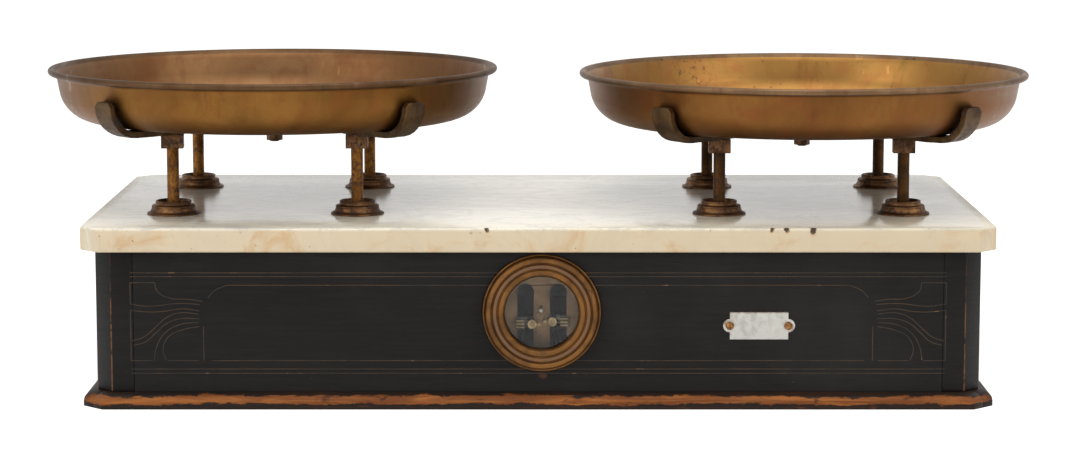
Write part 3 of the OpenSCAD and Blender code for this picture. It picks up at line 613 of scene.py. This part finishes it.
# Small plate: bare white enamel, scuffed, with rust round its screws and a brown upper edge
def enamelFinish(low, high):
    look = {"white": "#cecbc3", "grey": "#b5b2aa", "scuff": "#8f8d89", "rust": "#8a5a33", "brown": "#6b4a30",
            "rustReach": 9.5, "topFade": (0.3, 0.8), "topWander": 1.6, "relief": 0.06}
    finish = Finish("barePlate", {"Specular IOR Level": 0.5})
    mottle = finish.noise(150, 5, 0.6, 0.8)
    scuff = finish.rise(finish.noise(260, 5, 0.65, 1.4, finish.stretched((0.5, 1, 1))), 0.6, 0.68)
    below, above = look["topFade"]
    topEdge = finish.rise(finish.z + mottle * look["topWander"] * mm, high.z - below * mm, high.z + above * mm)
    middle, half = (low.x + high.x) / 2, (high.x - low.x) / 2
    rust = (finish.rise(abs(finish.x - middle), half - look["rustReach"] * mm, half)
            * finish.rise(mottle, 0.44, 0.66))
    colour = finish.mix(finish.rise(mottle, 0.4, 0.7), tint(look["white"]), tint(look["grey"]))
    colour = finish.mix(scuff * 0.35, colour, tint(look["scuff"]))
    colour = finish.mix(rust * 0.75, colour, tint(look["rust"]))
    colour = finish.mix(topEdge * 0.8, colour, tint(look["brown"]))
    finish.bump(mottle * 0.5 - scuff * 0.5, look["relief"] * mm)
    return finish.give(colour=colour, roughness=0.26 + scuff * 0.25 + rust * 0.3)


marbleLow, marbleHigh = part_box("marble_top")
caseLow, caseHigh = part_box("corner_posts")
plinthLow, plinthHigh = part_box("plinth_long_mouldings")
plateLow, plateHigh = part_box("name_plate")
marble = marbleFinish(marbleLow, marbleHigh)
ebonised = ebonisedFinish(caseLow, caseHigh)
plinthWood = plinthFinish(plinthLow, plinthHigh)
print("finishes ready:", len(bpy.data.materials))


# Ferrules: their radii and the depth of their tails, and where a carrier's four posts pass through them
ferrule = {"flange": 18, "shank": 10.4, "bore": 9, "tail": 14}


def postPlaces(side):  # at the height of the marble's top
    low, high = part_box(side + "_ferrules")
    reach = ferrule["flange"] * mm
    return [Vector((x, y, marbleHigh.z)) for x in (low.x + reach, high.x - reach)
            for y in (low.y + reach, high.y - reach)]


# Marble top: a slab with cut corners and softened arrises, bored for the ferrules, with small chips
def buildMarble():
    top = {"clip": 12.5, "arris": 1.2, "bore": 10.5, "boreDepth": 50, "chip": 0.8, "chipShape": (1, 0.4, 1.3)}
    low, high = marbleLow, marbleHigh
    slab = added(bpy.ops.mesh.primitive_cube_add, size=1, location=(low + high) / 2, scale=high - low)
    slab.name = "marbleSlab"
    bpy.ops.object.transform_apply(location=True, scale=True)
    pickEdges(slab, lambda a, b: abs(a.z - b.z) > 10 * mm)
    bpy.ops.mesh.bevel(offset=top["clip"] * mm, segments=1, affect="EDGES")
    pickEdges(slab, lambda a, b: abs(a.z - b.z) < 1 * mm)
    bpy.ops.mesh.bevel(offset=top["arris"] * mm, segments=4, affect="EDGES")
    bpy.ops.object.mode_set(mode="OBJECT")
    for place in postPlaces("left") + postPlaces("right"):
        cutAway(slab, added(bpy.ops.mesh.primitive_cylinder_add, vertices=40, radius=top["bore"] * mm,
                            depth=top["boreDepth"] * mm, location=(place.x, place.y, (low.z + high.z) / 2)))
    for x, z, size in marbleLook["chips"]:
        cutAway(slab, added(bpy.ops.mesh.primitive_ico_sphere_add, subdivisions=2,
                            radius=size * top["chip"] * mm, scale=top["chipShape"],
                            location=(x * mm, low.y, z * mm)))
    settle(slab, "case", [marble], ["marble_top"], 30)


# Pieces that keep their node's shape, with softened edges: each one's width in mm
softEdges = {"panels": 0.4, "cornerPosts": 0.9, "mouldings": 0.5, "posts": 0.3, "blocks": 0.6, "hubBolt": 0.5,
             "indexPlate": 0.25, "barePlate": 0.22}


def softened(nodeName, pieceName, width, finish, body="case", segments=2):
    piece = copyOfNode(nodeName, pieceName)
    modify(piece, "BEVEL", width=width * mm, segments=segments, limit_method="ANGLE",
           angle_limit=math.radians(28), harden_normals=False)
    settle(piece, body, [finish], [nodeName])


buildMarble()
for board in ("front", "back", "left", "right"):
    softened(board + "_panel", board + "Panel", softEdges["panels"], ebonised)
softened("corner_posts", "cornerPosts", softEdges["cornerPosts"], ebonised)
for length in ("long", "end"):
    softened("plinth_" + length + "_mouldings", length + "Mouldings", softEdges["mouldings"], plinthWood)
print("case built")


# Turned ferrules: flange, cove, bead and neck, one lathe piece copied to each post
def buildFerrules(side):
    profile = ([(ferrule["bore"], -ferrule["tail"]), (ferrule["shank"], -ferrule["tail"]),
                (ferrule["shank"], 0), (17.7, 0)]
               + arcPoints(17.45, 0.5, 0.5, 0.5, -60, 70, 6)
               + arcPoints(17.7, 4, 2.8, 2.8, 265, 190, 8)
               + [(14.7, 4.3)]
               + arcPoints(13.4, 5.2, 1.3, 1.1, -30, 80, 8)
               + [(12.6, 6.4), (12.2, 6.7), (12, 7.2)]
               + arcPoints(11.1, 8.4, 0.95, 0.85, -30, 110, 8)
               + [(10.4, 8.9), (9.6, 8), (ferrule["bore"], 6.5)])
    places = postPlaces(side)
    first = turned("ferrule", profile, places[0], steps=56, closed=True)
    copies = [first] + [shiftedCopy(first, place - places[0]) for place in places[1:]]
    settle(joined(side + "Ferrules", copies), "case", [metals["ferruleBronze"]],
           [side + "_ferrules"], 40)


# Pans: spun sheet with a flat floor, a turned corner, a leaning wall and a rolled rim
def buildPan(side):
    pan = {"corner": 24, "sheet": 1.2, "bead": 2.2, "lean": 13.5, "steps": 160}
    low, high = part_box(side + "_pan")
    centre = Vector(((low.x + high.x) / 2, (low.y + high.y) / 2, low.z))
    depth = (high.z - low.z) / mm
    outer = (high.x - low.x) / 2 / mm
    wallTop = outer - 2 * pan["bead"]
    rimHeight = depth - pan["bead"]
    lean = math.radians(pan["lean"])
    flat = (wallTop - (rimHeight - pan["corner"] * (1 - math.sin(lean))) * math.tan(lean)
            - pan["corner"] * math.cos(lean))
    inner = pan["corner"] - pan["sheet"]
    rings = [flat * part for part in (0.25, 0.5, 0.75)]
    profile = ([(0, 0)] + [(ring, 0) for ring in rings]
               + arcPoints(flat, pan["corner"], pan["corner"], pan["corner"], 270, 360 - pan["lean"], 14)
               + [(wallTop - 1.6, rimHeight - 4.2), (wallTop + 0.1, rimHeight - 2.0)]
               + arcPoints(outer - pan["bead"], rimHeight, pan["bead"], pan["bead"], 240, 500, 14)
               + [(wallTop - 0.9, rimHeight - 0.6), (wallTop - 2.6, rimHeight - 4.0)]
               + arcPoints(flat, pan["corner"], inner, inner, 360 - pan["lean"], 270, 14)
               + [(ring, pan["sheet"]) for ring in reversed(rings)] + [(0, pan["sheet"])])
    piece = turned(side + "Pan", profile, centre, steps=pan["steps"])
    looks = panLooks[side]
    finishes = [panBrass(side + "Pan" + part.capitalize(), looks[part], centre)
                for part in ("outside", "inside", "rim")]
    settle(piece, side + "_platform", finishes, [side + "_pan"], 60)
    beadRadius = (outer - 2.3 * pan["bead"]) * mm
    beadHeight = low.z + (rimHeight - 1.25 * pan["bead"]) * mm

    def onRim(middle, normal):
        return middle.z > beadHeight and (middle - centre).xy.length > beadRadius

    def onInside(middle, normal):  # faces that look up or towards the middle
        outward = (middle - centre).xy.normalized().dot(normal.xy)
        return normal.z * 3 - outward > 0.2 and not onRim(middle, normal)

    for index, test in ((2, onRim), (1, onInside)):
        pickFaces(piece, test)
        piece.active_material_index = index
        bpy.ops.object.material_slot_assign()
    bpy.ops.object.mode_set(mode="OBJECT")


# Straps: flat iron bars drawn out under the hammer, with soft edges and shallow dents
def buildStrap(side, name):
    strap = {"voxel": 0.6, "smoothing": 0.5, "dent": 0.5, "dentSize": 9, "dentLevel": 0.62}
    piece = copyOfNode(side + "_" + name + "_strap", side + name.capitalize() + "Strap")
    piece.data.remesh_voxel_size = strap["voxel"] * mm
    bpy.ops.object.voxel_remesh()
    modify(piece, "SMOOTH", factor=strap["smoothing"], iterations=2)
    texture = bpy.data.textures.new(piece.name + "Dents", type="CLOUDS")
    texture.noise_scale = strap["dentSize"] * mm
    modify(piece, "DISPLACE", texture=texture, strength=strap["dent"] * mm, mid_level=strap["dentLevel"])
    settle(piece, side + "_platform", [metals["strapIron"]], [side + "_" + name + "_strap"], 60)


# Slotted screws with domed heads for the small plate
def buildPlateScrews():
    screw = {"head": 2.7, "edge": 0.2, "dome": 0.9, "shank": 1.2, "tail": 0.9, "fromEnd": 2.6,
             "slot": (8, 1.35, 0.6), "slotFloor": 0.875, "turns": (24, -38)}
    low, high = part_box("name_plate_screws")
    heads = []
    for x, turn in zip((low.x + screw["fromEnd"] * mm, high.x - screw["fromEnd"] * mm), screw["turns"]):
        centre = Vector((x, plateLow.y, (low.z + high.z) / 2))
        profile = ([(0, -screw["tail"]), (screw["shank"], -screw["tail"]), (screw["shank"], 0),
                    (screw["head"], 0)]
                   + arcPoints(0, screw["edge"], screw["head"], screw["dome"], 0, 90, 8))
        head = turned("plateScrew", profile, centre, along=(0, -1, 0), steps=32)
        slot = Vector(screw["slot"])
        slotAt = centre - Vector((0, (screw["slotFloor"] + slot.y / 2) * mm, 0))
        cutAway(head, added(bpy.ops.mesh.primitive_cube_add, size=1, location=slotAt, scale=slot * mm,
                            rotation=(0, math.radians(turn), 0)))
        heads.append(head)
    settle(joined("plateScrews", heads), "case", [metals["screwBrass"]], ["name_plate_screws"])


# Bezel: a turned ring of three mouldings that steps down to the glass
def buildBezel():
    ring = {"sight": 24.3, "glass": 26, "spigot": 5.5, "hole": 31.3, "outer": 39, "steps": 128}
    low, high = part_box("window_bezel")
    centre = Vector(((low.x + high.x) / 2, caseLow.y, (low.z + high.z) / 2))
    profile = ([(ring["glass"], 1.2), (ring["glass"], -ring["spigot"]), (ring["hole"], -ring["spigot"]),
                (ring["hole"], 0), (ring["outer"] - 0.4, 0)]
               + arcPoints(38, 1.3, 0.95, 1.1, -50, 140, 8)
               + [(37.25, 2.9)]
               + arcPoints(35, 3.6, 2.3, 3.3, 10, 155, 16)
               + [(32.65, 5)]
               + arcPoints(30.9, 5, 1.55, 1.4, 14, 166, 10)
               + [(29.2, 5.2)]
               + arcPoints(26.9, 3.9, 2.25, 2.7, 28, 150, 12)
               + [(ring["sight"], 4), (ring["sight"], 1.2)])
    bezel = turned("bezel", profile, centre, along=(0, -1, 0), steps=ring["steps"], closed=True)
    settle(bezel, "case", [metals["bezelBrass"]], ["window_bezel"], 50)


# Glass: a thin disc with a ground edge, a little proud in the middle
def buildGlass():
    low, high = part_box("window_glass")
    radius, thick = (high.x - low.x) / 2 / mm, (high.y - low.y) / mm
    centre = Vector(((low.x + high.x) / 2, high.y, (low.z + high.z) / 2))
    profile = [(0, 0), (radius - 0.3, 0), (radius, 0.3), (radius, thick - 0.7), (radius - 0.4, thick - 0.35),
               (radius * 0.6, thick - 0.1), (0, thick)]
    glass = turned("windowGlass", profile, centre, along=(0, -1, 0), steps=96)
    settle(glass, "case", [glassFinish()], ["window_glass"])


# Index arrows: a notched feather with three ribs, a hollow disc and a small barbed head, on a flat blade
def buildArrow(side):
    arrow = {"edge": 0.14, "rib": (5.2, 0.8, 0.55), "ribEdge": 0.12, "ribSunk": 0.5, "ribGap": 2.15,
             "ribsFromEnd": 3.6, "ring": 2.3, "ringWire": 0.5, "ringSunk": 0.4, "discFromEnd": 11.3,
             "hollow": {"left": 0.6, "right": 1.2}, "hollowDepth": 0.6}
    low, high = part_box(side + "_pointer_arrow")
    end, outward = (low.x, -1) if side == "left" else (high.x, 1)
    middle = (low.z + high.z) / 2
    disc = Vector((end - outward * arrow["discFromEnd"] * mm, low.y, middle))
    blade = copyOfNode(side + "_pointer_arrow", side + "Arrow")
    modify(blade, "BEVEL", width=arrow["edge"] * mm, segments=2, limit_method="ANGLE",
           angle_limit=math.radians(28))
    cutAway(blade, added(bpy.ops.mesh.primitive_cylinder_add, vertices=24, radius=arrow["hollow"][side] * mm,
                         depth=2 * arrow["hollowDepth"] * mm, location=disc, rotation=(math.pi / 2, 0, 0)))
    settle(blade, side + "_lever", [metals["arrowBlade"]], [side + "_pointer_arrow"])
    trim = []
    for step in (-1, 0, 1):
        ribAt = (end - outward * arrow["ribsFromEnd"] * mm, low.y + arrow["ribSunk"] * mm,
                 middle + step * arrow["ribGap"] * mm)
        rib = added(bpy.ops.mesh.primitive_cube_add, size=1, location=ribAt, scale=Vector(arrow["rib"]) * mm)
        bpy.ops.object.transform_apply(location=True, scale=True)
        modify(rib, "BEVEL", width=arrow["ribEdge"] * mm, segments=2)
        trim.append(rib)
    ringAt = disc + Vector((0, arrow["ringSunk"] * mm, 0))
    trim.append(added(bpy.ops.mesh.primitive_torus_add, major_radius=arrow["ring"] * mm,
                      minor_radius=arrow["ringWire"] * mm, major_segments=40, minor_segments=10,
                      rotation=(math.pi / 2, 0, 0), location=ringAt))
    settle(joined(side + "ArrowTrim", trim), side + "_lever", [metals["arrowTrim"]], [])


# Rivet head between the slots of the index plate
def buildRivet():
    rivet = {"radius": 1.25, "flatness": 0.4, "sunk": 0.5, "at": (1.9, 62.9)}
    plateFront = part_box("index_plate")[0].y
    x, z = rivet["at"]
    head = added(bpy.ops.mesh.primitive_uv_sphere_add, segments=24, ring_count=12, radius=rivet["radius"] * mm,
                 scale=(1, rivet["flatness"], 1), location=(x * mm, plateFront + rivet["sunk"] * mm, z * mm))
    head.name = "indexRivet"
    settle(head, "case", [metals["knifeSteel"]], [])


# Reddish lines drawn on the front, through points of (x, height) in mm: two double lines, two lines between
# them, and a fan of curves at each end
def buildLines():
    line = {"radius": 0.3, "flatness": 0.35}
    longLines = [[(-267.3, z), (267.3, z)] for z in (89.5, 87, 25.6, 22.8)]
    middle = [[(-204, 81.3), (204, 81.3)], [(-214, 31.2), (214, 31.2)]]
    leftFan = [
        [(-267.3, 83), (-267.3, 68.9)], [(-267.3, 64.7), (-267.3, 31.2)], [(-267.3, 83), (-251, 83)],
        [(-251, 83), (-250, 78), (-242, 72.9), (-229, 72), (-220, 70.6)],
        [(-267.3, 68.9), (-259, 67.6), (-251, 67.6), (-238, 69.1), (-227, 69), (-221.7, 68.4)],
        [(-267.3, 64.7), (-256, 63.6), (-246, 63.9), (-233, 65.7), (-222.3, 64.3)],
        [(-266.2, 44.4), (-259, 46.8), (-252, 52.5), (-244, 59.6), (-235, 63), (-222.8, 62.2)],
        [(-265.6, 41.4), (-258, 43.5), (-251, 49.5), (-244, 55.7), (-235, 59), (-222.3, 59.1)],
        [(-252.1, 31.2), (-250.6, 40), (-245, 49.5), (-235, 55.2), (-222.8, 56.6)],
        [(-244.2, 31.2), (-246.3, 38.5), (-242.8, 46.8), (-233, 51.8), (-222.3, 53.9)],
        [(-219.5, 53.9), (-219.5, 31.2)], [(-267.3, 31.2), (-253, 31.2)], [(-243, 31.2), (-223, 31.2)],
        [(-216.4, 72.9), (-212, 77.7), (-204, 81.3)]]
    mirrored = [[(-x, z) for x, z in stroke] for stroke in leftFan]
    curve = bpy.data.curves.new("frontLines", type="CURVE")
    curve.dimensions = "3D"
    curve.bevel_depth = line["radius"] * mm
    curve.bevel_resolution = 1
    curve.resolution_u = 6
    curve.use_fill_caps = True
    for stroke in longLines + middle + leftFan + mirrored:
        spline = curve.splines.new("BEZIER")
        spline.bezier_points.add(len(stroke) - 1)
        for point, (x, z) in zip(spline.bezier_points, stroke):
            point.co = (x * mm, 0, z * mm)
            point.handle_left_type = point.handle_right_type = "AUTO"
    piece = bpy.data.objects.new("frontLines", curve)
    bpy.context.scene.collection.objects.link(piece)
    activate(piece)
    bpy.ops.object.convert(target="MESH")
    piece = bpy.context.object
    piece.scale.y = line["flatness"]
    piece.location.y = caseLow.y
    settle(piece, "case", [lineFinish()], [])


for side in sides:
    buildFerrules(side)
    buildPan(side)
    for name in ("upper", "lower"):
        buildStrap(side, name)
    body = side + "_platform"
    softened(side + "_posts", side + "Posts", softEdges["posts"], metals[side + "Post"], body)
    bronze = metals["blockBronze"]
    softened(side + "_post_blocks", side + "PostBlocks", softEdges["blocks"], bronze, body, 3)
    softened(side + "_hub_bolt", side + "HubBolt", softEdges["hubBolt"], bronze, body, 3)
    buildArrow(side)
print("ferrules, pans and carriers built")

buildBezel()
buildGlass()
softened("index_plate", "indexPlate", softEdges["indexPlate"], metals["indexBrass"])
softened("name_plate", "barePlate", softEdges["barePlate"], enamelFinish(plateLow, plateHigh),
         segments=3)
buildRivet()
buildPlateScrews()
buildLines()
print("front fittings built")

keptNodes = {
    "base_board": dealFinish(), "glass_ring": metals["bezelBrass"], "bed_casting": metals["castIron"],
    "main_bearings": metals["knifeSteel"], "fulcrum_brackets": metals["castIron"],
    "fulcrum_bearings": metals["knifeSteel"], "bed_screws": metals["rodSteel"], "beam_stops": corkFinish(),
    "beam_side_bars": metals["castIron"], "beam_cross_rods": metals["rodSteel"],
    "beam_centre_knife": metals["knifeSteel"], "beam_end_knives": metals["knifeSteel"],
    "beam_link_knives": metals["knifeSteel"], "tare_screws": metals["tareBrass"],
    "tare_nuts": metals["tareBrass"]}
for side in sides:
    keptNodes.update({side + name: metals[metal] for name, metal in {
        "_lever_bars": "castIron", "_lever_cross_rod": "rodSteel", "_lever_knives": "knifeSteel",
        "_lever_link_knives": "knifeSteel", "_pointer_arm": "rodSteel", "_stirrups": "rodSteel",
        "_carrier_frame": "castIron", "_bearing_shoes": "rodSteel"}.items()})
for name, finish in keptNodes.items():
    nodes[name].data.materials.clear()
    nodes[name].data.materials.append(finish)
print("kept nodes finished:", len(keptNodes))


# A strength that differs between rays that see a surface and rays that only light by it
def seenStrength(paint, unseen, seen):
    camera, glossy, through = [paint.node("ShaderNodeLightPath", {}, {}, ray)
                               for ray in ("Is Camera Ray", "Is Glossy Ray", "Is Transmission Ray")]
    sees = paint.larger(paint.larger(camera, glossy), through)
    return paint.node("ShaderNodeMapRange", {}, {"Value": sees, "To Min": unseen, "To Max": seen})


# Studio: pale floor, white surround, three soft lamps and the photograph's view
studio = {
    "floorSize": 30,
    "floorColour": (0.8, 0.8, 0.8, 1),
    "floorGlow": 0.66,
    "worldLight": 0.5,
    "aim": (0, 0, 0.1),
    "lamps": {  # place and size in metres, power in watts
        "overheadSoftbox": ((0.1, -0.3, 1.5), (1.6, 1.2), 14),
        "leftSoftbox": ((-1.4, -1.2, 0.9), (0.9, 0.9), 9),
        "rightSoftbox": ((1.5, -1.1, 1.0), (0.9, 0.9), 8)},
    "camera": (0.0012, -2.0714, 0.3815),
    "cameraTilt": 82.21,
    "lens": 99.43,
    "sensor": 36,
}


def buildFloor():
    floor = added(bpy.ops.mesh.primitive_plane_add, size=studio["floorSize"], location=(0, 0, cadLow.z))
    floor.name = "floor"
    material = bpy.data.materials.new("floorPaint")
    material.use_nodes = True
    material.node_tree.nodes.clear()
    paint = Paint(material.node_tree)
    paper = paint.node("ShaderNodeBsdfDiffuse", {}, {"Color": studio["floorColour"]})
    glow = paint.node("ShaderNodeEmission", {}, {"Strength": seenStrength(paint, 0, studio["floorGlow"])})
    both = paint.node("ShaderNodeAddShader", {}, {0: paper, 1: glow})
    paint.node("ShaderNodeOutputMaterial", {}, {"Surface": both})
    floor.data.materials.append(material)


def buildSurround():
    world = bpy.data.worlds.new("studioWorld")
    bpy.context.scene.world = world
    world.use_nodes = True
    background = world.node_tree.nodes["Background"]
    background.inputs["Color"].default_value = (1, 1, 1, 1)
    strength = seenStrength(Paint(world.node_tree), studio["worldLight"], 1)
    world.node_tree.links.new(strength.socket, background.inputs["Strength"])


def addLamp(name, location, size, power):
    lamp = added(bpy.ops.object.light_add, type="AREA", location=location)
    lamp.name = name
    lamp.data.shape = "RECTANGLE"
    lamp.data.size, lamp.data.size_y = size
    lamp.data.energy = power
    aim = Vector(studio["aim"]) - Vector(location)
    lamp.rotation_euler = aim.to_track_quat("-Z", "Y").to_euler()


def addCamera():
    tilt = math.radians(studio["cameraTilt"])
    camera = added(bpy.ops.object.camera_add, location=studio["camera"], rotation=(tilt, 0, 0))
    camera.data.lens = studio["lens"]
    camera.data.sensor_width = studio["sensor"]
    bpy.context.scene.camera = camera
    bpy.context.scene.view_settings.view_transform = "Standard"


buildFloor()
buildSurround()
for name, (location, size, power) in studio["lamps"].items():
    addLamp(name, location, size, power)
addCamera()
print("studio ready")

print("scene ready")
